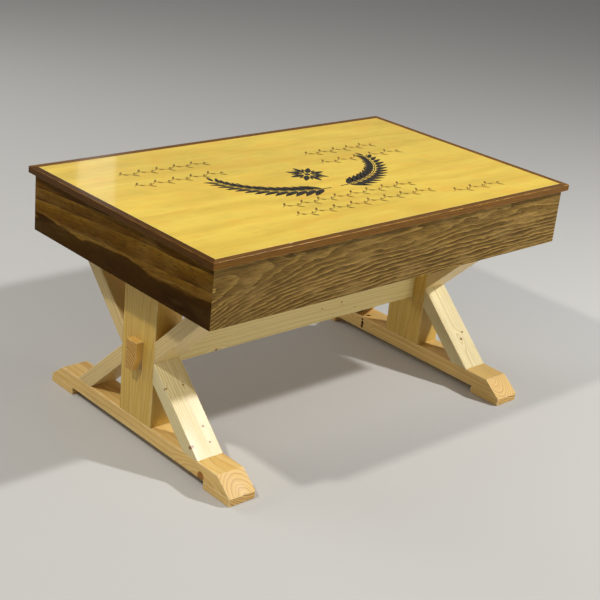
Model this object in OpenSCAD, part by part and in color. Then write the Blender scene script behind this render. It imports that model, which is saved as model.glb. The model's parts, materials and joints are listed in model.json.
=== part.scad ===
// Prayer bench with a storage box: two K-braced trestles, one through stretcher,
// a mitred box on top and a hinged, edge-trimmed lid.
// Units are millimetres. +X runs along the length, the front is -Y, +Z is up.
// The origin is on the floor, under the middle of the bench.

/* [Box] */
// Length of the box over its outside faces
box_len = 1130; // [800:1:1500]
// Depth of the box over its outside faces
box_depth = 673; // [450:1:900]
// Height of the box walls
wall_h = 140; // [90:1:240]
// Thickness of the box walls
wall_t = 38; // [18:1:45]
// Thickness of the box floor
floor_t = 12; // [6:1:20]
// Width of the strips that carry the floor
cleat_w = 19; // [15:1:30]

/* [Lid] */
// How far the lid stands out past the box on every side
lid_overhang = 12; // [8:0.5:30]
// Thickness of the lid
lid_t = 16; // [12:0.5:25]
// Width of the edge trim round the lid
trim_w = 17.5; // [10:0.5:40]

/* [Trestles] */
// Thickness of the trestle stock
stock_t = 38; // [30:1:50]
// Width of the trestle stock
stock_w = 75; // [60:1:100]
// Gap from the end of the box to the trestle's outer face
trestle_inset = 73; // [20:1:200]
// Length of a foot, front to back
foot_len = 720; // [500:1:900]
// Depth of the bevel on the end of a foot
foot_bevel_d = 48; // [20:1:80]
// Length of a foot pad
pad_len = 95; // [50:1:150]
// Thickness of a foot pad
pad_t = 19; // [10:1:30]
// Height of a post, foot to box
post_h = 373; // [250:1:600]
// Thickness of each of the two outer boards of a post
post_side_t = 43.5; // [30:0.5:60]
// How far a lower brace reaches along the foot, measured from the post
low_reach = 178.5; // [100:0.5:220]
// Slope of the upper braces, in degrees above the horizontal
up_angle = 45; // [43:0.5:60]
// Height above the foot where the braces and the stretcher's centre line meet the post
vee_h = 167; // [80:1:250]
// Bevel on the long edges of the trestle stock
ease = 1.5; // [0.5:0.1:4]

/* [Stretcher] */
// How far the stretcher's tenons stand out past the posts
tenon_out = 20; // [5:1:60]
// Height of the bevel on a tenon's lower front edge
tenon_bevel_h = 34; // [5:1:36]
// Depth of the bevel on a tenon's lower front edge
tenon_bevel_d = 15; // [3:1:18]

/* [Hinges] */
// Distance of each hinge from the middle of the bench
hinge_x = 380; // [100:1:480]
// Length of a hinge
hinge_len = 64; // [40:1:100]
// Width of one hinge leaf, from its free edge to the back of the box
leaf_w = 28; // [18:1:32]
// Thickness of a hinge leaf
leaf_t = 1.4; // [1:0.1:1.45]
// Depth of the recess that each leaf lies in
leaf_recess = 1.5; // [1.5:0.1:2.5]
// Radius of the hinge knuckles
knuckle_r = 3; // [2.6:0.1:3.2]
// Radius of the hinge pin
pin_r = 1.5; // [1.2:0.1:1.8]
// Distance of the pin behind the back of the box
pin_back = 3.4; // [3.3:0.1:6]
// Length of a hinge screw
screw_len = 12; // [8:1:14]

/* [Hidden] */
$fn = 64;
pin_clear = 0.05;          // radial play between a pin and its knuckles
knuckle_gap = 0.2;         // play between neighbouring knuckles
knuckles = 5;
screw_r = 1.5;
head_r = 3;
head_h = 1.2;

// Heights above the floor
foot_z = pad_t;
post_z = foot_z + stock_t;
box_z = post_z + post_h;
floor_z = box_z + stock_t;
rim_z = box_z + wall_h;
lid_z = rim_z;
vee_z = post_z + vee_h;

// Half sizes on plan
bx = box_len / 2;
by = box_depth / 2;
ix = bx - wall_t;
iy = by - wall_t;
lx = bx + lid_overhang;
ly = by + lid_overhang;
px = lx - trim_w;
py = ly - trim_w;

// Trestle positions
xo = bx - trestle_inset;
xi = xo - stock_w;
post_w = 2 * post_side_t + stock_t;
yp = post_w / 2;
ys = stock_t / 2;
stretch_lo = vee_z - stock_w / 2;
stretch_hi = vee_z + stock_w / 2;
low_angle = atan(vee_h / low_reach);

// Hinge positions
pin_y = by + pin_back;
pin_z = rim_z;
knuckle_len = (hinge_len - (knuckles - 1) * knuckle_gap) / knuckles;

PINE = "#e3c583";
STAIN = "#5b3d22";
TOP = "#e6bc50";
TRIM = "#7a4426";
PLY = "#d8bd8a";
STEEL = "#b9bcc0";

// ---------- helpers ----------

// A block between two corners
module span(lo, hi) {
  translate(lo) cube([for (i = [0:2]) hi[i] - lo[i]]);
}

// A rectangle with its four corners bevelled, between two corners
module eased_rect(lo, hi, e = ease) {
  polygon([
    [lo[0] + e, lo[1]], [hi[0] - e, lo[1]], [hi[0], lo[1] + e], [hi[0], hi[1] - e],
    [hi[0] - e, hi[1]], [lo[0] + e, hi[1]], [lo[0], hi[1] - e], [lo[0], lo[1] + e]
  ]);
}

// Lays a shape drawn on the Y-Z plane across X, from x0 to x1
module across(x0, x1) {
  translate([x0, 0, 0]) rotate([90, 0, 90]) linear_extrude(x1 - x0) children();
}

// Puts what is drawn for the left trestle on one side: s is -1 for left, 1 for right
module side(s) {
  if (s < 0) children();
  else mirror([1, 0, 0]) children();
}

// Puts what is drawn for the back on one side: s is -1 for front, 1 for back
module end_of(s) {
  if (s > 0) children();
  else mirror([0, 1, 0]) children();
}

// ---------- lid ----------

module hinge_pockets() {
  for (s = [-1, 1]) translate([s * hinge_x, 0, 0]) {
    span([-hinge_len / 2, by - leaf_w, lid_z - 1], [hinge_len / 2, by + 2, lid_z + leaf_recess]);
    translate([-hinge_len / 2 - 0.5, pin_y, pin_z]) rotate([0, 90, 0])
      cylinder(r = knuckle_r + 0.8, h = hinge_len + 1);
  }
}

module lid_screw_holes() {
  for (x = screw_xs(), y = screw_ys())
    translate([x, y, lid_z]) cylinder(r = screw_r, h = screw_len + leaf_recess - leaf_t);
}

module lid_panel() {
  color(TOP) difference() {
    span([-px, -py, lid_z], [px, py, lid_z + lid_t]);
    hinge_pockets();
    lid_screw_holes();
  }
}

module trim_long(s) {
  linear_extrude(lid_t)
    polygon([[-lx, s * ly], [lx, s * ly], [px, s * py], [-px, s * py]]);
}

module trim_short(s) {
  linear_extrude(lid_t)
    polygon([[s * lx, -ly], [s * lx, ly], [s * px, py], [s * px, -py]]);
}

module lid_trim_front() { color(TRIM) translate([0, 0, lid_z]) trim_long(-1); }
module lid_trim_back() {
  color(TRIM) difference() {
    translate([0, 0, lid_z]) trim_long(1);
    hinge_pockets();
  }
}
module lid_trim_left() { color(TRIM) translate([0, 0, lid_z]) trim_short(-1); }
module lid_trim_right() { color(TRIM) translate([0, 0, lid_z]) trim_short(1); }

// ---------- box ----------

module wall_long(s) {
  translate([0, 0, box_z]) linear_extrude(wall_h)
    polygon([[-bx, s * by], [bx, s * by], [ix, s * iy], [-ix, s * iy]]);
}

module wall_short(s) {
  translate([0, 0, box_z]) linear_extrude(wall_h)
    polygon([[s * bx, -by], [s * bx, by], [s * ix, iy], [s * ix, -iy]]);
}

module box_front() { color(STAIN) wall_long(-1); }
module box_back() {
  color(STAIN) difference() {
    wall_long(1);
    for (s = [-1, 1]) translate([s * hinge_x, 0, 0])
      span([-hinge_len / 2, by - leaf_w, rim_z - leaf_recess], [hinge_len / 2, by + 1, rim_z + 1]);
    for (x = screw_xs(), y = screw_ys())
      translate([x, y, rim_z - screw_len - leaf_recess + leaf_t])
        cylinder(r = screw_r, h = screw_len);
  }
}
module box_left() { color(STAIN) wall_short(-1); }
module box_right() { color(STAIN) wall_short(1); }

module box_floor() { color(PLY) span([-ix, -iy, floor_z], [ix, iy, floor_z + floor_t]); }

module cleat_long(s) {
  span([-ix, s > 0 ? iy - cleat_w : -iy, box_z], [ix, s > 0 ? iy : cleat_w - iy, floor_z]);
}

module cleat_short(s) {
  span([s > 0 ? ix - cleat_w : -ix, cleat_w - iy, box_z],
       [s > 0 ? ix : cleat_w - ix, iy - cleat_w, floor_z]);
}

module cleat_front() { color(PINE) cleat_long(-1); }
module cleat_back() { color(PINE) cleat_long(1); }
module cleat_left() { color(PINE) cleat_short(-1); }
module cleat_right() { color(PINE) cleat_short(1); }

// A bearer under the box floor, over one trestle
module bolster(s) {
  color(PINE) side(s) span([-xo, cleat_w - iy, box_z], [-xi, iy - cleat_w, floor_z]);
}
module bolster_left() { bolster(-1); }
module bolster_right() { bolster(1); }

// ---------- hinges ----------

function screw_xs() =
  [for (s = [-1, 1], k = [-1, 0, 1]) s * hinge_x + k * (hinge_len / 2 - 10)];
function screw_ys() = [by - leaf_w / 2];

// First X of knuckle k, counted from the hinge's left end
function knuckle_x(k) = -hinge_len / 2 + k * (knuckle_len + knuckle_gap);

// The hole for a screw in a leaf whose open face is at z = 0
module countersink() {
  cylinder(r = head_r, h = 1);
  translate([0, 0, -head_h]) cylinder(r1 = screw_r, r2 = head_r, h = head_h);
  translate([0, 0, -leaf_t - 1]) cylinder(r = screw_r, h = leaf_t + 1);
}

// One hinge leaf: up is 1 for the lid's leaf and -1 for the box's leaf
module leaf(up, own) {
  z0 = up > 0 ? pin_z + leaf_recess - leaf_t : pin_z - leaf_recess;
  color(STEEL) difference() {
    union() {
      span([-hinge_len / 2, by - leaf_w, z0], [hinge_len / 2, by, z0 + leaf_t]);
      for (k = own) {
        span([knuckle_x(k), by - 1, z0], [knuckle_x(k) + knuckle_len, pin_y, z0 + leaf_t]);
        translate([knuckle_x(k), pin_y, pin_z]) rotate([0, 90, 0])
          cylinder(r = knuckle_r, h = knuckle_len);
      }
    }
    translate([-hinge_len / 2 - 1, pin_y, pin_z]) rotate([0, 90, 0])
      cylinder(r = pin_r + pin_clear, h = hinge_len + 2);
    for (k = [-1, 0, 1]) translate([k * (hinge_len / 2 - 10), by - leaf_w / 2, 0])
      translate([0, 0, pin_z + up * (leaf_recess - leaf_t)]) mirror([0, 0, up > 0 ? 1 : 0])
        countersink();
  }
}

module pin() {
  color(STEEL) translate([-hinge_len / 2, pin_y, pin_z]) rotate([0, 90, 0])
    cylinder(r = pin_r, h = hinge_len);
}

module hinge_left_box_leaf() { translate([-hinge_x, 0, 0]) leaf(-1, [0, 2, 4]); }
module hinge_left_lid_leaf() { translate([-hinge_x, 0, 0]) leaf(1, [1, 3]); }
module hinge_left_pin() { translate([-hinge_x, 0, 0]) pin(); }
module hinge_right_box_leaf() { translate([hinge_x, 0, 0]) leaf(-1, [0, 2, 4]); }
module hinge_right_lid_leaf() { translate([hinge_x, 0, 0]) leaf(1, [1, 3]); }
module hinge_right_pin() { translate([hinge_x, 0, 0]) pin(); }

// A countersunk screw, head up, with its head's face at z = 0
module screw() {
  translate([0, 0, -head_h]) cylinder(r1 = screw_r, r2 = head_r, h = head_h);
  translate([0, 0, -screw_len]) cylinder(r = screw_r, h = screw_len);
}

module hinge_screws_box() {
  color(STEEL) for (x = screw_xs(), y = screw_ys())
    translate([x, y, pin_z - leaf_recess + leaf_t]) screw();
}

module hinge_screws_lid() {
  color(STEEL) for (x = screw_xs(), y = screw_ys())
    translate([x, y, pin_z + leaf_recess - leaf_t]) mirror([0, 0, 1]) screw();
}

// ---------- trestles, drawn for the left side and the back end ----------

module foot(s) {
  color(PINE) side(s) intersection() {
    translate([0, foot_len / 2, 0]) rotate([90, 0, 0]) linear_extrude(foot_len)
      eased_rect([-xo, foot_z], [-xi, post_z]);
    across(-xo - 1, -xi + 1) polygon([
      [-foot_len / 2, foot_z], [foot_len / 2, foot_z],
      [foot_len / 2 - foot_bevel_d, post_z], [foot_bevel_d - foot_len / 2, post_z]
    ]);
  }
}

module pad(s, e) {
  color(PINE) side(s) end_of(e) linear_extrude(pad_t)
    eased_rect([-xo, foot_len / 2 - pad_len], [-xi, foot_len / 2]);
}

module post_side(s, e) {
  color(PINE) side(s) end_of(e) translate([0, 0, post_z]) linear_extrude(post_h)
    polygon([
      [-xo, ys], [-xo, yp - ease], [ease - xo, yp],
      [-xi - ease, yp], [-xi, yp - ease], [-xi, ys]
    ]);
}

module post_core(s, z0, z1) {
  color(PINE) side(s) span([-xo, -ys, z0], [-xi, ys, z1]);
}

// A bar of eased stock that leaves the post at vee_z and slopes by the given angle;
// it runs past both ends of the brace
module sloped_stock(angle, lo, hi) {
  translate([0, yp, vee_z]) rotate([angle, 0, 0])
    translate([0, 2 * post_h, 0]) rotate([90, 0, 0]) linear_extrude(3 * post_h)
      eased_rect([-xo, lo], [-xi, hi]);
}

// The space beside a post, between the foot and the box
module beside_post() {
  span([-xo - 1, yp, post_z], [-xi + 1, yp + 2 * post_h, box_z]);
}

module brace_low(s, e) {
  color(PINE) side(s) end_of(e) intersection() {
    beside_post();
    sloped_stock(-low_angle, -stock_t, 0);
  }
}

module brace_up(s, e) {
  color(PINE) side(s) end_of(e) intersection() {
    beside_post();
    sloped_stock(up_angle, 0, stock_t);
  }
}

module left_foot() { foot(-1); }
module left_pad_front() { pad(-1, -1); }
module left_pad_back() { pad(-1, 1); }
module left_post_front() { post_side(-1, -1); }
module left_post_back() { post_side(-1, 1); }
module left_post_upper() { post_core(-1, stretch_hi, box_z); }
module left_post_lower() { post_core(-1, post_z, stretch_lo); }
module left_brace_low_front() { brace_low(-1, -1); }
module left_brace_low_back() { brace_low(-1, 1); }
module left_brace_up_front() { brace_up(-1, -1); }
module left_brace_up_back() { brace_up(-1, 1); }

module right_foot() { foot(1); }
module right_pad_front() { pad(1, -1); }
module right_pad_back() { pad(1, 1); }
module right_post_front() { post_side(1, -1); }
module right_post_back() { post_side(1, 1); }
module right_post_upper() { post_core(1, stretch_hi, box_z); }
module right_post_lower() { post_core(1, post_z, stretch_lo); }
module right_brace_low_front() { brace_low(1, -1); }
module right_brace_low_back() { brace_low(1, 1); }
module right_brace_up_front() { brace_up(1, -1); }
module right_brace_up_back() { brace_up(1, 1); }

// ---------- stretcher ----------

module stretcher() {
  end_x = xo + tenon_out;
  color(PINE) difference() {
    across(-end_x, end_x) polygon([
      [-ys, stretch_lo], [ys, stretch_lo], [ys, stretch_hi], [-ys, stretch_hi]
    ]);
    for (s = [-1, 1]) side(s) across(-end_x - 1, -xo) polygon([
      [-ys - 1, stretch_lo - 1], [tenon_bevel_d - ys, stretch_lo - 1],
      [tenon_bevel_d - ys, stretch_lo], [-ys, stretch_lo + tenon_bevel_h],
      [-ys - 1, stretch_lo + tenon_bevel_h]
    ]);
  }
}

// ---------- what is drawn ----------

lid_panel();
lid_trim_front();
lid_trim_back();
lid_trim_left();
lid_trim_right();
box_front();
box_back();
box_left();
box_right();
box_floor();
cleat_front();
cleat_back();
cleat_left();
cleat_right();
bolster_left();
bolster_right();
hinge_left_box_leaf();
hinge_left_lid_leaf();
hinge_left_pin();
hinge_right_box_leaf();
hinge_right_lid_leaf();
hinge_right_pin();
hinge_screws_box();
hinge_screws_lid();
left_foot();
left_pad_front();
left_pad_back();
left_post_front();
left_post_back();
left_post_upper();
left_post_lower();
left_brace_low_front();
left_brace_low_back();
left_brace_up_front();
left_brace_up_back();
right_foot();
right_pad_front();
right_pad_back();
right_post_front();
right_post_back();
right_post_upper();
right_post_lower();
right_brace_low_front();
right_brace_low_back();
right_brace_up_front();
right_brace_up_back();
stretcher();
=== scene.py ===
import json
import math

import bmesh
import bpy
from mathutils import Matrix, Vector


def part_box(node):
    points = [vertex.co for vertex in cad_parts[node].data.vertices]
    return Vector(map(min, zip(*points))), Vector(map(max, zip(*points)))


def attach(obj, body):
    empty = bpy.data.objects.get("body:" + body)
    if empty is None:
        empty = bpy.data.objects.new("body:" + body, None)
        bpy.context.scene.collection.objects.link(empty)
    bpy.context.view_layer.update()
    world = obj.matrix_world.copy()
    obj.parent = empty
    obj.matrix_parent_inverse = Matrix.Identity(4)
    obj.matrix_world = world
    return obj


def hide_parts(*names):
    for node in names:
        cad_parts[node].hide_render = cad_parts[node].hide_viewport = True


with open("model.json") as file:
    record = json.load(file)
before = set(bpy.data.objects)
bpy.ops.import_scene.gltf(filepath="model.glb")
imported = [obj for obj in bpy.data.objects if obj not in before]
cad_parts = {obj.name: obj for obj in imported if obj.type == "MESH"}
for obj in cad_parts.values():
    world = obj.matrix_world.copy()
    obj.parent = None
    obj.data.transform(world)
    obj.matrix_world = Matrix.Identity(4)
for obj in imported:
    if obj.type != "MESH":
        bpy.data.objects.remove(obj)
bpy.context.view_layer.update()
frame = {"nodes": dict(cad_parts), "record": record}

NODES = frame["nodes"]
BODY_OF = {
    node: body
    for body, nodes in frame["record"]["behaviour"]["bodies"].items()
    for node in nodes
}
X, Y, Z = Vector((1, 0, 0)), Vector((0, 1, 0)), Vector((0, 0, 1))
LOW, HIGH = 0, 1


def face(node, side, axis):
    """Where a node's lowest or highest face lies along X (0), Y (1) or Z (2)."""
    return round(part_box(node)[side][axis], 6)


LID_TOP = face("lid_panel", HIGH, 2)
INK_LIFT = 0.0003  # the ornament stands this high over the panel, inside the lid's own box


# ---------------------------------------------------------------- node graphs
class Graph:
    """A material with one Principled shader, and short calls for the nodes that feed it."""

    def __init__(self, name):
        self.material = bpy.data.materials.new(name)
        self.material.use_nodes = True
        self.tree = self.material.node_tree
        self.tree.nodes.clear()
        self.shader = self.tree.nodes.new("ShaderNodeBsdfPrincipled")
        output = self.tree.nodes.new("ShaderNodeOutputMaterial")
        self.tree.links.new(self.shader.outputs[0], output.inputs[0])

    def put(self, socket, value):
        if isinstance(value, bpy.types.NodeSocket):
            self.tree.links.new(value, socket)
        else:
            socket.default_value = value

    def shade(self, **values):
        """Values or sockets for the shader's inputs, with _ for a space in their names."""
        for key, value in values.items():
            self.put(self.shader.inputs[key.replace("_", " ")], value)

    def node(self, kind, values, out=0, **settings):
        n = self.tree.nodes.new(kind)
        for key, value in settings.items():
            setattr(n, key, value)
        for key, value in values.items():
            self.put(n.inputs[key], value)
        return n.outputs[out]

    def attribute(self, name, out):
        return self.node("ShaderNodeAttribute", {}, out, attribute_name=name)

    def math(self, op, *values):
        return self.node("ShaderNodeMath", dict(enumerate(values)), operation=op)

    def joined(self, op, parts):
        """Several values joined by one operation, from the first to the last."""
        whole = parts[0]
        for part in parts[1:]:
            whole = self.math(op, whole, part)
        return whole

    def vector(self, op, *values):
        out = "Value" if op in ("LENGTH", "DOT_PRODUCT") else "Vector"
        return self.node("ShaderNodeVectorMath", dict(enumerate(values)), out, operation=op)

    def scaled(self, vector, factor):
        return self.node("ShaderNodeVectorMath", {0: vector, "Scale": factor}, operation="SCALE")

    def noise(self, point, stretch, detail=2.0, rough=0.5):
        """Noise from 0 to 1; stretch is cycles per metre along, across and through the board."""
        place = self.vector("MULTIPLY", point, stretch)
        values = {"Vector": place, "Scale": 1.0, "Detail": detail, "Roughness": rough}
        return self.node("ShaderNodeTexNoise", values, "Fac")

    def smooth(self, value, start, end, low=0.0, high=1.0):
        """low up to start and high from end on, with a smooth step between them."""
        values = {"Value": value, "From Min": start, "From Max": end, "To Min": low, "To Max": high}
        return self.node("ShaderNodeMapRange", values, interpolation_type="SMOOTHSTEP")

    def sway(self, value, amount):
        """value from 0 to 1 turned into an offset of plus or minus half of amount."""
        return self.math("MULTIPLY", self.math("SUBTRACT", value, 0.5), amount)

    def toned(self, colour, *parts):
        """The colour made lighter and darker by each (noise, contrast) in turn."""
        swings = [self.sway(noise, contrast) for noise, contrast in parts]
        return self.scaled(colour, self.joined("ADD", [1.0, *swings]))

    def ramp(self, value, colours):
        n = self.tree.nodes.new("ShaderNodeValToRGB")
        while len(n.color_ramp.elements) < len(colours):
            n.color_ramp.elements.new(0.5)
        for element, (place, colour) in zip(n.color_ramp.elements, colours):
            element.position = place
            element.color = (*colour, 1)
        self.put(n.inputs[0], value)
        return n.outputs[0]

    def mix(self, factor, a, b):
        """a where factor is 0 and b where it is 1; b may be written as rrggbb."""
        b = rgba(b) if isinstance(b, str) else b
        return self.node("ShaderNodeMix", {0: factor, 6: a, 7: b}, 2, data_type="RGBA")

    def bump(self, height, distance):
        return self.node("ShaderNodeBump", {"Height": height, "Distance": distance, "Strength": 1.0})


def srgb(text):
    """A colour written as rrggbb, turned to linear light."""
    channels = [int(text[i:i + 2], 16) / 255 for i in (0, 2, 4)]
    return tuple(c / 12.92 if c < 0.04045 else ((c + 0.055) / 1.055) ** 2.4 for c in channels)


def rgba(text):
    return (*srgb(text), 1.0)


def stops(*pairs):
    """A colour ramp from (place, rrggbb) pairs."""
    return [(place, srgb(colour)) for place, colour in pairs]


# ---------------------------------------------------------------- wood
# how fine each noise is, in cycles per metre along, across and through a board
FIBRE = (7, 620, 620)
PORES = (45, 2600, 2600)
PATCHES = (3.2, 17, 17)
WANDER = (6, 30, 30)
HELD_STAIN = (32, 330, 330)
DASHES = (16, 900, 900)
KNOT_FLECKS = (260, 260, 260)
EDGE_PATCHES = (40, 60, 60)
SEED_STEP = (7.31, 3.17, 5.73)  # metres that one unit of seed moves the noises

# the two levels of a noise between which its patches fade in
WANDER_LEVELS = 0.38, 0.66
CLOUD_LEVELS = 0.45, 0.75
HELD_LEVELS = 0.46, 0.70
EDGE_PATCH_LEVELS = 0.35, 0.7
GLOSS_LEVELS = 0.3, 0.7

# rings
RING_DRIFT = 0.37        # cycles per ring of the noise that makes them uneven
CALM_WAVE = 0.05         # metres that the edge of a calm side wanders
LATE_GLOSS = -0.08       # change of roughness in the late wood
FIBRE_GLOSS = 0.10       # contrast of the fibre in the roughness
LATE_HEIGHT, FIBRE_HEIGHT, PORE_HEIGHT = 0.6, 0.5, 0.25  # shares of the relief

# a knot, in its own radii
KNOT_REACH = 4.2, 0.3    # where the rings begin to rise round it, and where they have risen fully
KNOT_RISE = 1.6
KNOT_EDGE = 1.05, 0.8    # where its own wood begins, and where it is full
KNOT_ALONG = 0.42        # its pull reaches further along the fibre: distances there count this much
KNOT_RING = 0.0017       # metres between the rings inside it

# the wavy edge of a darker zone, in metres from its line
ZONE_EDGE = -0.004, 0.005
ZONE_GLOW = 0.001, 0.006, 0.016  # the pale line along it: where it starts, peaks and ends
ZONE_GLOW_COLOUR, ZONE_GLOW_AMOUNT = "8a6a34", 0.35
TIP_BLUR = 0.004

# how far the late wood stands out through a ring, for the bump and the ends
LATE_WOOD = [(place, (height,) * 3) for place, height in (
    (0.0, 0.6), (0.06, 0.0), (0.55, 0.1), (0.86, 0.6), (0.97, 1.0), (1.0, 0.6))]


def grain_point(g):
    """The board's own grain point, and the same point moved by its seed for the noises."""
    grain = g.attribute("grain", "Vector")
    seed = g.attribute("seed", "Fac")
    return grain, g.vector("MULTIPLY_ADD", SEED_STEP, seed, grain)


def knot_terms(g, grain, knots):
    """For knots (centre in grain axes, radius): how far they lift the rings, their mask, and the
    distance from the nearest one's middle."""
    rises, insides, fars = [], [], []
    for centre, radius in knots:
        out = Vector((0, centre[1], centre[2])).normalized()
        along = g.vector("DOT_PRODUCT", grain, tuple(out))
        flat = g.vector("SUBTRACT", grain, g.scaled(tuple(out), along))
        off = g.vector("SUBTRACT", flat, (centre[0], 0, 0))
        far = g.vector("LENGTH", off)
        pull = g.vector("LENGTH", g.vector("MULTIPLY", off, (KNOT_ALONG, 1, 1)))
        rises.append(g.smooth(pull, *(reach * radius for reach in KNOT_REACH), 0.0, KNOT_RISE * radius))
        insides.append(g.math("MULTIPLY", g.smooth(far, *(edge * radius for edge in KNOT_EDGE)),
                              g.math("GREATER_THAN", along, 0.0)))
        fars.append(far)
    return g.joined("ADD", rises), g.joined("MAXIMUM", insides), g.joined("MINIMUM", fars)


class Timber:
    """Sawn timber as a solid: rings round a pith line, fibre along it, knots through it. These are
    the settings of plain pine, and each kind of timber changes some. Lengths are in metres."""

    # the rings
    warp = (0.012, 0.004)      # how far the broad and the fine waves move them
    warp_scale = (1.3, 7.0)    # cycles per metre of those waves, along the board
    spacing = 0.9              # how uneven they are, in rings
    squeeze = 1.0              # how many there are across the board, as a share of those through it
    bend = None                # curves the pith: start, length it settles over, shift across, through
    core = None                # wider rings at the heart: its radius, their spacing, their phase
    fade = 0.35                # how far they come and go
    calm = None                # quiets them on one side: full up to here, gone from here, amount
    ring_bump = 0.00010        # how high they and the fibre stand

    # the colours laid over them
    cloud = None               # paler patches: colour, amount
    cloud_grain = (5, 14)      # cycles per metre of those patches, along and across
    zone = None                # a darker band below a wavy line: height, waviness, colour, amount
    tips = None                # another colour beyond a distance from the middle: distance, colour, amount
    streak = 0.16              # contrast of the fibre
    blotch = 0.10              # contrast of the broad patches
    grime = None               # stain that stayed in the open grain: colour, amount
    dash = (0.69, 0.78, 0.45)  # short streaks: the levels they fade in between, amount
    streak_colour = "7d5a28"
    knots = ()                 # (centre in grain axes, radius) of each
    knot_colours = ("9c6a34", "5d3414")

    # sawn ends, and paler rounded edges: partly rubbed wear, partly a painted highlight
    end_tint = 0.25
    end_dark = "6e5426"
    end_ring = "a8742c"
    cut = 0.75                 # how strongly the rings show on the ends
    rub_and_highlight = 0.35
    worn = "f0dcae"

    # the finish
    gloss = (0.36, 0.52)       # roughness of the smoothest and the dullest patches
    specular = 0.4
    coat = 0.0

    def __init__(self, name, ring, figure, **changes):
        for key, value in changes.items():
            getattr(self, key)  # stops at a setting that doesn't exist
            setattr(self, key, value)
        self.ring, self.figure = ring, figure
        self.g = g = Graph(name)
        self.grain, self.point = grain_point(g)
        broad, fine = self.warp_scale
        self.broad = g.noise(self.point, (broad, broad * 4, broad * 4))
        self.fine = g.noise(self.point, (fine, fine * 5, fine * 5))
        self.fibre = g.noise(self.point, FIBRE, 3.0, 0.6)
        self.pores = g.noise(self.point, PORES, 1.0)
        self.patches = g.noise(self.point, PATCHES)
        if self.knots:
            self.lift, self.knot_mask, self.knot_far = knot_terms(g, self.grain, self.knots)

    def across(self):
        return self.g.vector("DOT_PRODUCT", self.grain, (0, 1, 0))

    def radius(self):
        """Distance from the pith line, moved by the waves and by the knots."""
        g = self.g
        section = g.vector("MULTIPLY", self.grain, (0, 1, 1))
        if self.bend:
            start, length, across, through = self.bend
            along = g.vector("DOT_PRODUCT", self.grain, (1, 0, 0))
            near = g.math("EXPONENT", g.math("MULTIPLY_ADD", along, -1 / length, start / length))
            shift = g.scaled((0, across, through), g.math("SUBTRACT", 1.0, near))
            section = g.vector("ADD", section, shift)
            self.fade = near  # rings on a bent pith come and go only where the bend starts
        if self.squeeze != 1.0:
            section = g.vector("MULTIPLY", section, (0, self.squeeze, 1))
        waves = [g.sway(self.broad, self.warp[0]), g.sway(self.fine, self.warp[1])]
        radius = g.joined("ADD", [g.vector("LENGTH", section), *waves])
        return g.math("SUBTRACT", radius, self.lift) if self.knots else radius

    def ring_share(self):
        """How far a point lies through its own ring, from 0 to 1."""
        g, radius = self.g, self.radius()
        if self.core:
            size, ring, phase = self.core
            inner = g.math("DIVIDE", g.math("MINIMUM", radius, size), ring)
            rest = g.math("MAXIMUM", g.math("SUBTRACT", radius, size), 0.0)
            turns = g.joined("ADD", [inner, g.math("DIVIDE", rest, self.ring), phase])
        else:
            turns = g.math("DIVIDE", radius, self.ring)
        values = {"W": g.math("MULTIPLY", turns, RING_DRIFT), "Scale": 1.0, "Detail": 1.0}
        uneven = g.node("ShaderNodeTexNoise", values, "Fac", noise_dimensions="1D")
        return g.math("FRACT", g.math("ADD", turns, g.sway(uneven, 2 * self.spacing)))

    def ring_colour(self, share):
        """The rings in their own colours, which come and go."""
        g = self.g
        middle, late = self.figure[2][1], self.figure[3][1]
        fading = g.smooth(g.noise(self.point, WANDER), *WANDER_LEVELS, 0.0, self.fade)
        colour = g.mix(fading, g.ramp(share, self.figure), (*middle, 1))
        if self.calm:
            full, gone, amount = self.calm
            level = g.math("ADD", self.across(), g.sway(self.broad, CALM_WAVE))
            colour = g.mix(g.smooth(level, full, gone, amount, 0.0), colour, (*late, 1))
        return colour

    def clouded(self, colour):
        """Paler clouds, the darker zone with a pale line along it, and the tips."""
        g = self.g
        if self.cloud:
            tint, amount = self.cloud
            along, across = self.cloud_grain
            drift = g.noise(self.point, (along, across, across), 4.0)
            colour = g.mix(g.smooth(drift, *CLOUD_LEVELS, 0.0, amount), colour, tint)
        if self.zone:
            line, wave, tint, amount = self.zone
            waves = [g.sway(self.fine, 3 * wave), g.sway(self.broad, 2 * wave)]
            rise = g.joined("ADD", [self.across(), *waves])
            below = g.smooth(rise, *(line + edge for edge in ZONE_EDGE), amount, 0.0)
            colour = g.mix(below, colour, tint)
            first, peak, last = (line + step for step in ZONE_GLOW)
            glow = g.math("MULTIPLY", g.smooth(rise, first, peak), g.smooth(rise, last, peak))
            colour = g.mix(g.math("MULTIPLY", glow, ZONE_GLOW_AMOUNT), colour, ZONE_GLOW_COLOUR)
        if self.tips:
            reach, tint, amount = self.tips
            out = g.math("ABSOLUTE", g.vector("DOT_PRODUCT", self.grain, (1, 0, 0)))
            colour = g.mix(g.smooth(out, reach - TIP_BLUR, reach + TIP_BLUR, 0.0, amount), colour, tint)
        return colour

    def streaked(self, colour):
        """Fibre, patches and pores, stain held in the grain, and short streaks."""
        g = self.g
        colour = g.toned(colour, (self.fibre, self.streak), (self.patches, 2 * self.blotch),
                         (self.pores, self.streak * 0.5))
        if self.grime:
            tint, amount = self.grime
            held = g.noise(self.point, HELD_STAIN, 4.0, 0.75)
            colour = g.mix(g.smooth(held, *HELD_LEVELS, 0.0, amount), colour, tint)
        start, full, amount = self.dash
        dashes = g.smooth(g.noise(self.point, DASHES, 1.0), start, full, 0.0, amount)
        return g.mix(dashes, colour, self.streak_colour)

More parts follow.
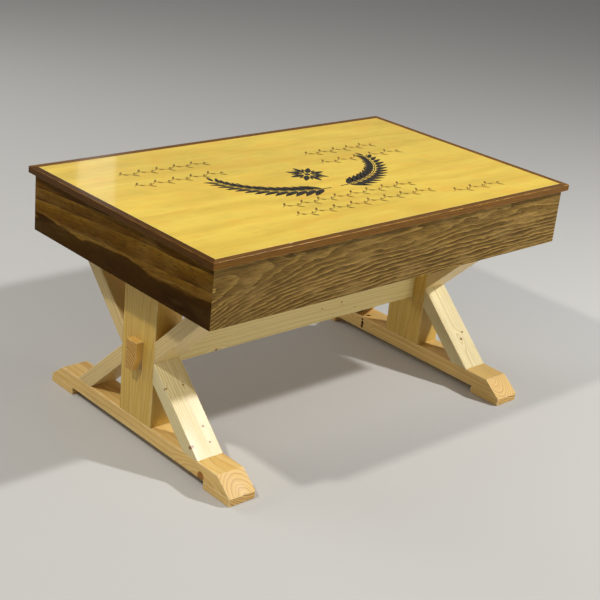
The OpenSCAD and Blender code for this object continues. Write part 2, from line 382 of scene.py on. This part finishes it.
    def sawn(self, colour, late):
        """Darker ends with the rings in them, knots with rings of their own, and paler rounded edges,
        partly rubbed wear and partly a painted highlight.
        """
        g = self.g
        end = g.attribute("endness", "Fac")
        colour = g.mix(g.math("MULTIPLY", end, self.end_tint), colour, self.end_dark)
        cut_rings = g.joined("MULTIPLY", [end, late, self.cut])
        colour = g.mix(cut_rings, colour, self.end_ring)
        if self.knots:
            fleck = g.sway(g.noise(self.point, KNOT_FLECKS), 0.001)
            inner = g.math("FRACT", g.math("DIVIDE", g.math("ADD", self.knot_far, fleck), KNOT_RING))
            pale, dark = self.knot_colours
            colour = g.mix(self.knot_mask, colour, g.mix(g.smooth(inner, 0.2, 0.9), rgba(pale), dark))
        # paler rounded edges: partly real rubbing, partly a painted highlight where an edge catches the
        # light
        rub_and_highlight_patches = g.smooth(g.noise(self.point, EDGE_PATCHES), *EDGE_PATCH_LEVELS, 0.15, self.rub_and_highlight * 2)
        return g.mix(g.math("MULTIPLY", g.attribute("edge", "Fac"), rub_and_highlight_patches), colour, self.worn)

    def material(self):
        g, share = self.g, self.ring_share()
        late = g.ramp(share, LATE_WOOD)
        colour = self.sawn(self.streaked(self.clouded(self.ring_colour(share))), late)
        patchy = g.smooth(self.patches, *GLOSS_LEVELS, *self.gloss)
        rough = g.joined("ADD", [g.math("MULTIPLY", late, LATE_GLOSS), patchy,
                                 g.sway(self.fibre, FIBRE_GLOSS)])
        height = g.math("MULTIPLY_ADD", late, LATE_HEIGHT, g.math("MULTIPLY", self.fibre, FIBRE_HEIGHT))
        height = g.math("MULTIPLY_ADD", self.pores, PORE_HEIGHT, height)
        g.shade(Base_Color=colour, Roughness=rough, Specular_IOR_Level=self.specular,
                Coat_Weight=self.coat, Coat_Roughness=0.12, Normal=g.bump(height, self.ring_bump))
        return g.material


def wood(name, ring, figure, **changes):
    """A timber material: the spacing of its rings, the colours through one ring, and its settings."""
    return Timber(name, ring, figure, **changes).material()


def knotty(name, ring, figure, knots, **changes):
    """A timber for one board, with knots that come out at these places in the shared frame."""
    def make(lay):
        return wood(name, ring, figure, knots=[(tuple(lay.point(p)), r) for p, r in knots], **changes)
    return make


def pine_figure(first, pale, middle, late, dark):
    """Pine's colours through one ring, which ends as it began."""
    return stops((0.0, first), (0.05, pale), (0.5, middle), (0.85, late), (0.97, dark), (1.0, first))


PINE = pine_figure("cfa45c", "dfbf7c", "dcba74", "d4ad64", "c79a52")
PINE_GOLD = pine_figure("bd9442", "d0af5a", "ccaa54", "c49e48", "b68b3a")
PINE_WHITE = pine_figure("c8a866", "d7be85", "d4ba7e", "cbae6e", "be9a57")
PINE_BRACE = pine_figure("c4ae78", "d8cca0", "d4c696", "cab784", "b69c62")
PINE_GREEN = pine_figure("c4ab6a", "d3c289", "d0bd82", "c9b274", "bca262")
STAIN = stops((0.0, "3e2a10"), (0.08, "513b1a"), (0.40, "654d25"), (0.62, "765c2c"), (0.82, "96783e"),
              (0.97, "a6884b"), (1.0, "3e2a10"))
# a darker copy of the stain: painted shade for the left apron
STAIN_PAINTED_SHADE = stops((0.0, "3a2106"), (0.10, "52340a"), (0.45, "62420e"), (0.72, "725114"),
                   (0.92, "846222"), (1.0, "3a2106"))
TRIM = stops((0.0, "4a2c0a"), (0.2, "623e0f"), (0.6, "714a11"), (0.9, "855c18"), (1.0, "4a2c0a"))
# a darker copy of the trim's stain: painted shade for the left trim
TRIM_PAINTED_SHADE = stops((0.0, "321b06"), (0.2, "452a08"), (0.6, "52330a"), (0.9, "644210"), (1.0, "321b06"))

# settings that several materials share
PALE_ENDS = dict(specular=0.2, end_tint=0.3, end_dark="b48444")
# the stained boards' paler rounded edges are partly rubbed wear, partly a painted highlight
STAINED = dict(streak=0.38, blotch=0.30, end_tint=0.5, end_dark="1d1206", worn="7d5e2e", rub_and_highlight=0.22,
               gloss=(0.42, 0.58), streak_colour="241606", ring_bump=0.00012, specular=0.07, fade=0.7,
               grime=("2a1b09", 0.62), end_ring="3a2810", dash=(0.57, 0.72, 0.6))
# the trim's paler rounded edges are partly rubbed wear, mostly a painted highlight along its top edge
TRIMMED = dict(warp=(0.006, 0.002), streak=0.24, blotch=0.14, end_tint=0.4, end_dark="2c1a0a",
               rub_and_highlight=0.42, gloss=(0.26, 0.40), ring_bump=0.00006, end_ring="3a2810")
FOOT = PALE_ENDS | dict(streak=0.22, blotch=0.18, end_ring="8e5c20", cut=1.0)
BRACE = dict(streak=0.34, blotch=0.16, specular=0.40, gloss=(0.32, 0.46), dash=(0.66, 0.76, 0.5))

pine = wood("pine_clear", 0.0056, PINE, **PALE_ENDS, streak=0.22, blotch=0.13, end_ring="7a4c18",
            cut=1.15)
pine_gold = wood("pine_gold", 0.0046, PINE_GOLD, streak=0.24, blotch=0.15)
pine_white = wood("pine_white", 0.0040, PINE_WHITE, streak=0.20, specular=0.6, gloss=(0.30, 0.44))
stained_front = wood("pine_stained_front", 0.0046, STAIN, **STAINED | dict(
    blotch=0.44, warp=(0.013, 0.0082), warp_scale=(2.4, 11.0), spacing=0.12, squeeze=0.6,
    bend=(face("box_front", LOW, 0), 0.15, 0.05, -0.03), core=(0.0275, 0.0105, 0.331),
    cloud=("947845", 0.66), cloud_grain=(10, 30), calm=(-0.020, 0.030, 0.50)))
stained = wood("pine_stained", 0.0085, STAIN, **STAINED, warp=(0.020, 0.006), warp_scale=(2.2, 9.0),
               spacing=0.5, cloud=("7d6334", 0.4))
# the left apron: its own wide figure, in the darker copy of the stain, which paints in the shade on that
# side
stained_painted_shade = wood("pine_stained_painted_shade", 0.034, STAIN_PAINTED_SHADE, **STAINED | dict(
    specular=0.02, warp=(0.030, 0.012), warp_scale=(2.0, 7.0), spacing=0.5, cloud=("7c5e2a", 0.7),
    cloud_grain=(8, 26), zone=(0.040, 0.024, "241303", 0.74)))
trim = wood("trim_stained", 0.0032, TRIM, **TRIMMED, worn="b98a48", streak_colour="3a2410",
            specular=0.12, coat=0.06, grime=("35210b", 0.45))
# the left trim: the trim's stain darker all over, as painted shade
trim_painted_shade = wood("trim_stained_painted_shade", 0.0032, TRIM_PAINTED_SHADE, **TRIMMED, worn="8a602c",
                 streak_colour="241406", specular=0.05, coat=0.04, grime=("241404", 0.5))

# knots where they come out of a face: place in the shared frame, radius
STRETCHER_FRONT = face("stretcher", LOW, 1)
LEFT_OUTER = face("left_foot", LOW, 0)
RIGHT_INNER = face("right_foot", LOW, 0)
stretcher_pine = knotty(
    "pine_stretcher", 0.0074, PINE_GREEN,
    [((-0.273, STRETCHER_FRONT, 0.188), 0.0046), ((0.072, STRETCHER_FRONT, 0.223), 0.0018),
     ((0.142, STRETCHER_FRONT, 0.227), 0.0024), ((0.194, STRETCHER_FRONT, 0.202), 0.0020)],
    end_tint=0.40, end_dark="ac8028", end_ring="7a4a14", cut=1.0, tips=(0.493, "dca848", 0.8))
left_foot_pine = knotty(
    "pine_left_foot", 0.0070, PINE, [((LEFT_OUTER, -0.256, 0.027), 0.0120)],
    **FOOT, warp=(0.016, 0.005), warp_scale=(3.0, 8.0), knot_colours=("a8742e", "86521c"))
right_foot_pine = knotty(
    "pine_right_foot", 0.0060, PINE,
    [((RIGHT_INNER, 0.154, 0.030), 0.0050), ((RIGHT_INNER, 0.153, 0.040), 0.0055),
     ((RIGHT_INNER, 0.155, 0.050), 0.0040)],
    **FOOT | dict(specular=0.25), knot_colours=("5a3414", "2a160a"))
upper_brace_pine = knotty(
    "pine_left_upper_brace", 0.0040, PINE_WHITE, [((LEFT_OUTER, 0.070, 0.314), 0.0035)], streak=0.18)
left_brace_pine = knotty(
    "pine_left_brace", 0.0040, PINE_BRACE,
    [((-0.489, -0.109, 0.180), 0.0022), ((-0.442, -0.111, 0.179), 0.0025),
     ((-0.489, -0.215, 0.081), 0.0045), ((-0.438, -0.217, 0.080), 0.0030),
     ((-0.438, -0.188, 0.107), 0.0036)], **BRACE)
right_brace_pine = knotty(
    "pine_right_brace", 0.0040, PINE_BRACE,
    [((0.454, -0.180, 0.114), 0.0045), ((0.470, -0.167, 0.126), 0.0035)], **BRACE)


# ---------------------------------------------------------------- veneer, steel and ink
def veneer(name, tones, warm, gloss, coat, coat_rough, bump):
    """Rotary-cut plywood face: wide, soft, wandering figure under a flat finish, with a painted highlight
    along its rounded edges.
    """
    g = Graph(name)
    grain, point = grain_point(g)
    fibre = g.noise(point, (6, 420, 420), 3.0, 0.65)
    flecks = g.noise(point, (55, 900, 900), 1.0)
    clouds = g.noise(point, (2.6, 5.0, 5.0), 3.0)
    streaks = g.noise(point, (5, 75, 75))
    mottle = g.noise(point, (16, 30, 30), 3.0)
    slow = g.noise(point, (1.1, 3.4, 3.4))
    quick = g.noise(point, (4.0, 22.0, 22.0))
    through = g.vector("DOT_PRODUCT", grain, (0, 0, 1.0))
    bands = g.math("MULTIPLY_ADD", through, 9.0, g.sway(slow, 5.0))
    colour = g.ramp(g.math("FRACT", g.math("ADD", bands, g.sway(quick, 0.55))), tones)
    colour = g.mix(g.smooth(mottle, 0.46, 0.74, 0.0, 0.42), colour, warm)
    colour = g.toned(colour, (fibre, 0.13), (clouds, 0.38), (streaks, 0.22), (mottle, 0.38), (flecks, 0.07))
    colour = g.mix(g.math("MULTIPLY", g.attribute("endness", "Fac"), 0.4), colour, "7b5a24")
    # painted highlight: the rounded edges made pale, as a bright line along the panel's edge
    colour = g.mix(g.math("MULTIPLY", g.attribute("edge", "Fac"), 0.7), colour, "f8eab0")
    ripple = g.noise(point, (60, 60, 60), 1.0)
    height = g.math("MULTIPLY_ADD", ripple, 0.4, g.math("MULTIPLY", fibre, 0.6))
    g.shade(Base_Color=colour, Roughness=g.smooth(fibre, 0.2, 0.8, *gloss), Coat_Weight=coat,
            Coat_Roughness=coat_rough, Normal=g.bump(height, bump))
    return g.material


def steel(name, dark, pale, smoothest, dullest):
    """Plated steel with faint brush marks; the last two are its roughness at either extreme."""
    g = Graph(name)
    place = g.node("ShaderNodeTexCoord", {}, "Object")
    cloud = g.noise(place, (140, 140, 140), 3.0)
    brush = g.noise(place, (90, 2500, 2500))
    colour = g.toned(g.mix(g.smooth(cloud, 0.3, 0.75), rgba(dark), pale), (brush, 0.12))
    both = g.math("ADD", g.math("MULTIPLY", cloud, 0.6), g.math("MULTIPLY", brush, 0.4))
    g.shade(Base_Color=colour, Metallic=1.0, Roughness=g.smooth(both, 0.3, 0.7, smoothest, dullest),
            Normal=g.bump(brush, 0.00003))
    return g.material


def ink(name, dark, pale):
    """Scorched line work: dark, a little uneven, with the wood's fibre showing in it."""
    g = Graph(name)
    place = g.node("ShaderNodeTexCoord", {}, "Object")
    fibre = g.noise(place, (25, 700, 700))
    cloud = g.noise(place, (60, 60, 60))
    both = g.math("ADD", g.math("MULTIPLY", fibre, 0.5), g.math("MULTIPLY", cloud, 0.5))
    g.shade(Base_Color=g.mix(g.smooth(both, 0.35, 0.72), rgba(dark), pale),
            Roughness=g.smooth(cloud, 0.3, 0.7, 0.28, 0.42), Normal=g.bump(both, 0.00005))
    return g.material


LACQUERED = stops((0.0, "dcbb42"), (0.25, "e3c348"), (0.6, "e6c84e"), (0.85, "e0bf44"), (1.0, "dcbb42"))
RAW = stops((0.0, "c9a468"), (0.3, "dab97e"), (0.7, "d6b276"), (1.0, "c9a468"))
veneer_top = veneer("veneer_lacquered", LACQUERED, warm="cf9c34", gloss=(0.32, 0.44), coat=0.35,
                    coat_rough=0.07, bump=0.00003)
veneer_floor = veneer("veneer_raw", RAW, warm="c08c50", gloss=(0.55, 0.7), coat=0.0, coat_rough=0.3,
                      bump=0.00008)
zinc = steel("steel_zinc", "a9a79f", "c9c7bf", 0.26, 0.44)
zinc_dark = steel("steel_screw", "8f8d86", "b5b3ab", 0.24, 0.40)


# ---------------------------------------------------------------- pieces
WELD = 1e-5                      # corners closer than this are one
FLAT_ANGLE = math.radians(0.5)   # faces that meet at less are joined
BOARD_SHARP = math.radians(20)   # edges sharper than this are rounded
HINGE_SHARP = math.radians(40)
HINGE_CREASE = math.radians(32)  # edges of the hinges sharper than this stay hard
SAME_WAY = 0.9999                # cosine of the angle within which two faces look the same way
SAWN_EASE = 0.0006               # how far the rounding reaches from an edge, by kind of piece
TRIM_EASE = 0.0012
PAD_EASE = 0.003
PANEL_EASE = 0.0004
HINGE_EASE = 0.00012


class Lay:
    """How a board was cut: grain direction, where the pith runs, and how it tilts."""

    def __init__(self, node, along, pith, tilt=(0.0, 0.0), seed=0.0):
        low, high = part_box(node)
        self.centre = (low + high) / 2
        self.along = along.normalized()
        self.through = X if abs(self.along.x) < 0.5 else Y
        self.across = self.through.cross(self.along)
        self.pith, self.tilt, self.seed = pith, tilt, seed

    def point(self, place):
        """A place in the frame as distances along the board and across and through from its pith."""
        d = Vector(place) - self.centre
        u = d.dot(self.along)
        return Vector((
            u,
            d.dot(self.across) - self.pith[0] - self.tilt[0] * u,
            d.dot(self.through) - self.pith[1] - self.tilt[1] * u,
        ))


def outline_mesh(node, sharp, ease):
    """The CAD node's mesh with flat faces joined and its sharp edges rounded by ease, and the
    directions that its flat faces look in."""
    bm = bmesh.new()
    bm.from_mesh(NODES[node].data)
    bmesh.ops.remove_doubles(bm, verts=bm.verts, dist=WELD)
    bmesh.ops.dissolve_limit(bm, angle_limit=FLAT_ANGLE, verts=bm.verts, edges=bm.edges)
    flats = [f.normal.copy() for f in bm.faces]
    corners = [e for e in bm.edges if len(e.link_faces) == 2 and e.calc_face_angle() > sharp]
    bmesh.ops.bevel(bm, geom=corners, offset=ease, offset_type="OFFSET", segments=2, profile=0.5,
                    affect="EDGES", clamp_overlap=True)
    bmesh.ops.recalc_face_normals(bm, faces=bm.faces)
    return bm, flats


def new_object(name, bm, material):
    """An object in the scene from a finished bmesh."""
    mesh = bpy.data.meshes.new(name)
    bm.to_mesh(mesh)
    bm.free()
    mesh.materials.append(material)
    piece = bpy.data.objects.new(name, mesh)
    bpy.context.scene.collection.objects.link(piece)
    return piece


def store(mesh, name, kind, domain, field, values):
    mesh.attributes.new(name, kind, domain).data.foreach_set(field, values)


def store_grain(mesh, lay, flats):
    """What the wood materials read: the grain point, the seed, how much of an end a face is, and
    whether it is one of the rounded edges."""
    grain = [c for v in mesh.vertices for c in lay.point(v.co)]
    end = [abs(p.normal.dot(lay.along)) ** 2 for p in mesh.polygons]
    edge = [float(max(p.normal.dot(n) for n in flats) < SAME_WAY) for p in mesh.polygons]
    store(mesh, "grain", "FLOAT_VECTOR", "POINT", "vector", grain)
    store(mesh, "seed", "FLOAT", "POINT", "value", [lay.seed] * len(mesh.vertices))
    store(mesh, "endness", "FLOAT", "FACE", "value", end)
    store(mesh, "edge", "FLOAT", "FACE", "value", edge)


def add_piece(node, bm, material):
    """The piece that is seen in place of a CAD node."""
    piece = new_object("look_" + node, bm, material)
    for polygon in piece.data.polygons:
        polygon.use_smooth = True
    weigh = piece.modifiers.new("flat_faces", "WEIGHTED_NORMAL")
    weigh.weight = 90
    weigh.keep_sharp = True
    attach(piece, BODY_OF[node])
    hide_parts(node)
    return piece


def board(node, along, pith, material, tilt=(0.0, 0.0), seed=0.0, ease=SAWN_EASE):
    """A board with its grain along a direction, and its pith at (across, through) from its middle."""
    lay = Lay(node, along, pith, tilt, seed)
    bm, flats = outline_mesh(node, BOARD_SHARP, ease)
    made = material if isinstance(material, bpy.types.Material) else material(lay)
    piece = add_piece(node, bm, made)
    store_grain(piece.data, lay, flats)


# the box
board("box_front", X, (-0.015, -0.0072), stained_front, (0.0, 0.012), 1.0)
board("box_back", X, (0.030, 0.055), stained, (0.02, 0.03), 2.0)
# the left apron takes the stain with painted shade
board("box_left", Y, (-0.060, 0.020), stained_painted_shade, (-0.045, 0.05), 3.0)
board("box_right", Y, (0.030, -0.050), stained, (0.03, 0.06), 4.0)
board("box_floor", X, (0.0, 0.0), veneer_floor, seed=5.0)

# the lid's trim, the strips that carry the box's floor, and the bearers under it
for k, (side, run) in enumerate((("front", X), ("back", X), ("left", Y), ("right", Y))):
    # the left trim takes the darker copy, as painted shade on that side
    edging = trim_painted_shade if side == "left" else trim
    board("lid_trim_" + side, run, (0.03, 0.02), edging, (0.01, 0.02), 6.0 + k, TRIM_EASE)
    board("cleat_" + side, run, (0.05, 0.03), pine, (0.0, 0.01), 11.0 + k)
board("bolster_left", Y, (0.06, 0.02), pine, (0.02, 0.0), 15.0)
board("bolster_right", Y, (0.05, -0.03), pine, (0.01, 0.02), 16.0)

# the lid's panel, its top sunk so that the ornament stays in the lid's box
lay = Lay("lid_panel", X, (0.0, 0.0), seed=17.0)
bm, flats = outline_mesh("lid_panel", BOARD_SHARP, PANEL_EASE)
for vertex in bm.verts:
    if vertex.co.z > LID_TOP - 0.001:
        vertex.co.z -= INK_LIFT
panel = add_piece("lid_panel", bm, veneer_top)
store_grain(panel.data, lay, flats)

# stretcher and trestles
UP_FRONT = Vector((0, -1, 1))
UP_BACK = Vector((0, 1, 1))
DOWN_FRONT = Vector((0, -0.1785, -0.167))
DOWN_BACK = Vector((0, 1, -0.93))
board("stretcher", X, (0.055, 0.030), stretcher_pine, (0.006, 0.004), 20.0)
for side, seed, foot_pine, foot_pith, upper_pine in (
        ("left", 30.0, left_foot_pine, (-0.030, 0.012), upper_brace_pine),
        ("right", 50.0, right_foot_pine, (0.019, -0.010), pine_white)):
    board(side + "_foot", Y, foot_pith, foot_pine, (0.0, 0.01), seed)
    board(side + "_pad_front", Y, (0.080, 0.035), pine, (0.0, 0.01), seed + 1, PAD_EASE)
    board(side + "_pad_back", Y, (0.080, -0.020), pine, (0.0, 0.01), seed + 2, PAD_EASE)
    board(side + "_post_front", Z, (0.03, 0.055), pine_gold, (0.012, 0.03), seed + 3)
    board(side + "_post_back", Z, (-0.05, 0.070), pine_gold, (0.0, 0.01), seed + 4)
    board(side + "_post_upper", Z, (0.03, 0.050), pine_gold, (0.01, 0.02), seed + 5)
    board(side + "_post_lower", Z, (0.03, 0.050), pine_gold, (0.01, 0.02), seed + 5)
    board(side + "_brace_up_front", UP_FRONT, (0.06, 0.05), pine_white, (0.01, 0.01), seed + 6)
    board(side + "_brace_up_back", UP_BACK, (0.05, 0.06), upper_pine, (0.01, 0.01), seed + 7)
    board(side + "_brace_low_back", DOWN_BACK, (0.05, 0.05), pine_white, (0.01, 0.01), seed + 8)
board("left_brace_low_front", DOWN_FRONT, (-0.055, 0.02), left_brace_pine, (0.0, 0.012), 71.0)
board("right_brace_low_front", DOWN_FRONT, (-0.055, -0.02), right_brace_pine, (0.0, 0.012), 72.0)

# hinges: leaves, pins and screws
for node in sorted(NODES):
    if node.startswith("hinge_"):
        bm, flats = outline_mesh(node, HINGE_SHARP, HINGE_EASE)
        for e in bm.edges:
            e.smooth = len(e.link_faces) == 2 and e.calc_face_angle() < HINGE_CREASE
        add_piece(node, bm, zinc_dark if "screw" in node or "pin" in node else zinc)


# ---------------------------------------------------------------- ornament on the lid
def prism(bm, points):
    """A flat plate from its outline, sunk a little into the panel."""
    top = [bm.verts.new((x, y, LID_TOP)) for x, y in points]
    low = [bm.verts.new((x, y, LID_TOP - 2 * INK_LIFT)) for x, y in points]
    bm.faces.new(top)
    bm.faces.new(low[::-1])
    n = len(points)
    for i in range(n):
        bm.faces.new((top[i], low[i], low[(i + 1) % n], top[(i + 1) % n]))


LEAF_BELLY = 0.8  # under 1, a leaf's widest part lies nearer its stalk
LEAF_FULL = 0.9   # under 1, its sides are fuller than a sine


def leaf(bm, x, y, angle, length, width, bow=0.0, n=9):
    """A pointed leaf from its stalk end at x, y; bow bends its midline."""
    ca, sa = math.cos(angle), math.sin(angle)
    sides = []
    for sign in (1, -1):
        line = []
        for i in range(n + 1):
            t = i / n
            half = sign * width / 2 * math.sin(math.pi * t ** LEAF_BELLY) ** LEAF_FULL if 0 < i < n else 0.0
            line.append((length * t, half + bow * math.sin(math.pi * t)))
        sides.append(line)
    outline = sides[1] + sides[0][-2:0:-1]
    prism(bm, [(x + a * ca - b * sa, y + a * sa + b * ca) for a, b in outline])


def ribbon(bm, line, width_at):
    """A band along a line; width_at gives its width from the share of the way along."""
    left, right = [], []
    for i, (x, y) in enumerate(line):
        ax, ay = line[max(i - 1, 0)]
        bx, by = line[min(i + 1, len(line) - 1)]
        size = math.hypot(bx - ax, by - ay)
        nx, ny = -(by - ay) / size, (bx - ax) / size
        half = width_at(i / (len(line) - 1)) / 2
        left.append((x + nx * half, y + ny * half))
        right.append((x - nx * half, y - ny * half))
    prism(bm, right + left[::-1])


def disc(bm, x, y, radius, n=18):
    turns = [2 * math.pi * i / n for i in range(n)]
    prism(bm, [(x + radius * math.cos(a), y + radius * math.sin(a)) for a in turns])


def polar(x, y, distance, angle):
    return x + distance * math.cos(angle), y + distance * math.sin(angle)


STEM_START = 0.016, -0.092  # the right branch's foot; the left one mirrors it
STEM_SIZE = 0.236, 0.185    # half width and rise of the curve that it follows
STEM_TURN = 1.42            # radians of that curve
LEAF_PAIRS = 13
LEAF_SPLAY = 0.62           # radians between a leaf and the stem
LEAF_SIDE, LEAF_GAP = 1.57, 0.0040      # where it starts: radians from the stem's way, metres
LEAF_SLIM, LEAF_BOW = 0.30, -0.003
BERRY_SIDE, BERRY_GAP = 1.45, 0.026
BERRY = 0.0032
ROSETTE_Y = 0.012
PETALS = 8


def branch(bm, side):
    """One side of the wreath: a curved stem with pairs of leaves, berries and a leaf at its tip."""
    def stem(t):
        a = STEM_TURN * t
        return (side * (STEM_START[0] + STEM_SIZE[0] * math.sin(a)),
                STEM_START[1] + STEM_SIZE[1] * (1 - math.cos(a)))

    ribbon(bm, [stem(i / 40) for i in range(41)], lambda t: 0.0034 - 0.0022 * t)
    for i in range(LEAF_PAIRS):
        t = 0.08 + 0.92 * i / LEAF_PAIRS
        x, y = stem(t)
        x2, y2 = stem(t + 0.01)
        way = math.atan2(y2 - y, x2 - x)
        size = 0.060 - 0.024 * t
        for turn in (1, -1):
            leaf(bm, *polar(x, y, LEAF_GAP, way + turn * LEAF_SIDE), way + turn * LEAF_SPLAY,
                 size, size * LEAF_SLIM, turn * LEAF_BOW)
        if i % 3 == 1:
            for turn in (1, -1):
                disc(bm, *polar(x, y, BERRY_GAP, way + turn * BERRY_SIDE), BERRY)
    x, y = stem(1.0)
    leaf(bm, x, y + 0.003, math.pi / 2 + 0.1 * side, 0.030, 0.010)


def rosette(bm):
    """Petals with smaller ones between them, round a disc."""
    for i in range(PETALS):
        a = 2 * math.pi * i / PETALS
        b = a + math.pi / PETALS
        leaf(bm, *polar(0.0, ROSETTE_Y, 0.010, a), a, 0.044, 0.015)
        leaf(bm, *polar(0.0, ROSETTE_Y, 0.022, b), b, 0.020, 0.006)
    disc(bm, 0.0, ROSETTE_Y, 0.0075)


WAVE_LENGTH = 0.052
WAVE_HEIGHT = 0.0055
WAVE_POINTS = 12
VINE_WIDTH = 0.0015


def vine(bm, start, end, y):
    """A thin running vine along X, with two leaves at each crest."""
    waves = round((end - start) / WAVE_LENGTH)
    step = (end - start) / waves
    count = waves * WAVE_POINTS
    line = [(start + (end - start) * i / count, y + WAVE_HEIGHT * math.sin(2 * math.pi * i / WAVE_POINTS))
            for i in range(count + 1)]
    ribbon(bm, line, lambda t: VINE_WIDTH)
    for i in range(waves):
        for share, turn in ((0.25, 1), (0.75, -1)):
            x = start + (i + share) * step
            leaf(bm, x - 0.004, y + turn * 0.0080, turn * 0.85, 0.019, 0.0055, turn * -0.001, 7)
            leaf(bm, x + 0.002, y + turn * 0.0030, turn * -0.75, 0.013, 0.0042, 0.0, 7)


def inlay(name, bm, material):
    """A finished ornament as a piece that rides the lid."""
    bmesh.ops.recalc_face_normals(bm, faces=bm.faces)
    piece = new_object(name, bm, material)
    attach(piece, "lid")


# the vines: from, to, and how far back
VINES = ((-0.43, -0.17, 0.195), (-0.44, -0.18, 0.115), (0.11, 0.35, 0.140), (0.10, 0.38, 0.068),
         (-0.22, 0.20, -0.150), (-0.23, 0.21, -0.208), (0.25, 0.42, -0.248))

bm = bmesh.new()
for side in (1, -1):
    branch(bm, side)
rosette(bm)
inlay("lid_ornament_wreath", bm, ink("ink_black", "1b150c", "2e2415"))
bm = bmesh.new()
for start, end, y in VINES:
    vine(bm, start, end, y)
inlay("lid_ornament_vines", bm, ink("ink_brown", "664a14", "8a6a26"))

# ---------------------------------------------------------------- floor, light and camera
FLOOR_RADIUS = 30.0
FLOOR_GAP = 0.0003  # keeps the floor clear of the pads

g = Graph("studio_floor")
g.shade(Base_Color=(0.52, 0.52, 0.515, 1), Roughness=0.85, Specular_IOR_Level=0.2)
bm = bmesh.new()
bmesh.ops.create_circle(bm, cap_ends=True, radius=FLOOR_RADIUS, segments=96)
floor = new_object("studio_floor", bm, g.material)
floor.location.z = -FLOOR_GAP


def area_light(name, place, target, size, power, colour):
    light = bpy.data.lights.new(name, "AREA")
    light.shape = "RECTANGLE"
    light.size, light.size_y = size
    light.energy, light.color = power, colour
    lamp = bpy.data.objects.new(name, light)
    bpy.context.scene.collection.objects.link(lamp)
    lamp.location = place
    lamp.rotation_euler = (Vector(target) - Vector(place)).to_track_quat("-Z", "Y").to_euler()


MIDDLE = (0, 0, 0.25)
area_light("key_left", (-2.60, 0.0, 3.75), MIDDLE, (0.20, 0.20), 78, (1.0, 0.95, 0.86))
area_light("key_front", (2.35, -2.35, 3.15), MIDDLE, (0.20, 0.20), 150, (1.0, 0.985, 0.955))
area_light("fill_front", (1.2, -4.6, 0.9), (0.1, 0, 0.25), (3.0, 1.3), 62, (1.0, 0.96, 0.84))
area_light("fill_left", (-4.2, -2.6, 0.8), MIDDLE, (2.4, 1.2), 2, (1.0, 0.97, 0.92))
area_light("fill_back", (-1.8, 4.2, 2.4), (0, 0, 0.3), (2.4, 1.6), 78, (1.0, 0.98, 0.95))
area_light("glow_back", (1.66, 3.35, 1.95), (-0.5, 0.1, LID_TOP), (0.20, 0.9), 0.8, (1.0, 0.97, 0.92))

world = bpy.data.worlds.new("studio")
bpy.context.scene.world = world
world.use_nodes = True
backdrop = world.node_tree.nodes["Background"]
backdrop.inputs["Color"].default_value = (0.80, 0.79, 0.77, 1)
backdrop.inputs["Strength"].default_value = 0.26
bpy.context.scene.view_settings.view_transform = "Standard"

camera_data = bpy.data.cameras.new("camera")
camera_data.lens = 77.381
camera_data.sensor_width = 36.0
camera_data.shift_x = 0.025
camera = bpy.data.objects.new("camera", camera_data)
bpy.context.scene.collection.objects.link(camera)
camera.location = (-2.1023, -2.1683, 1.5116)
camera.rotation_euler = [math.radians(a) for a in (67.264, -5.25, -41.316)]
bpy.context.scene.camera = camera
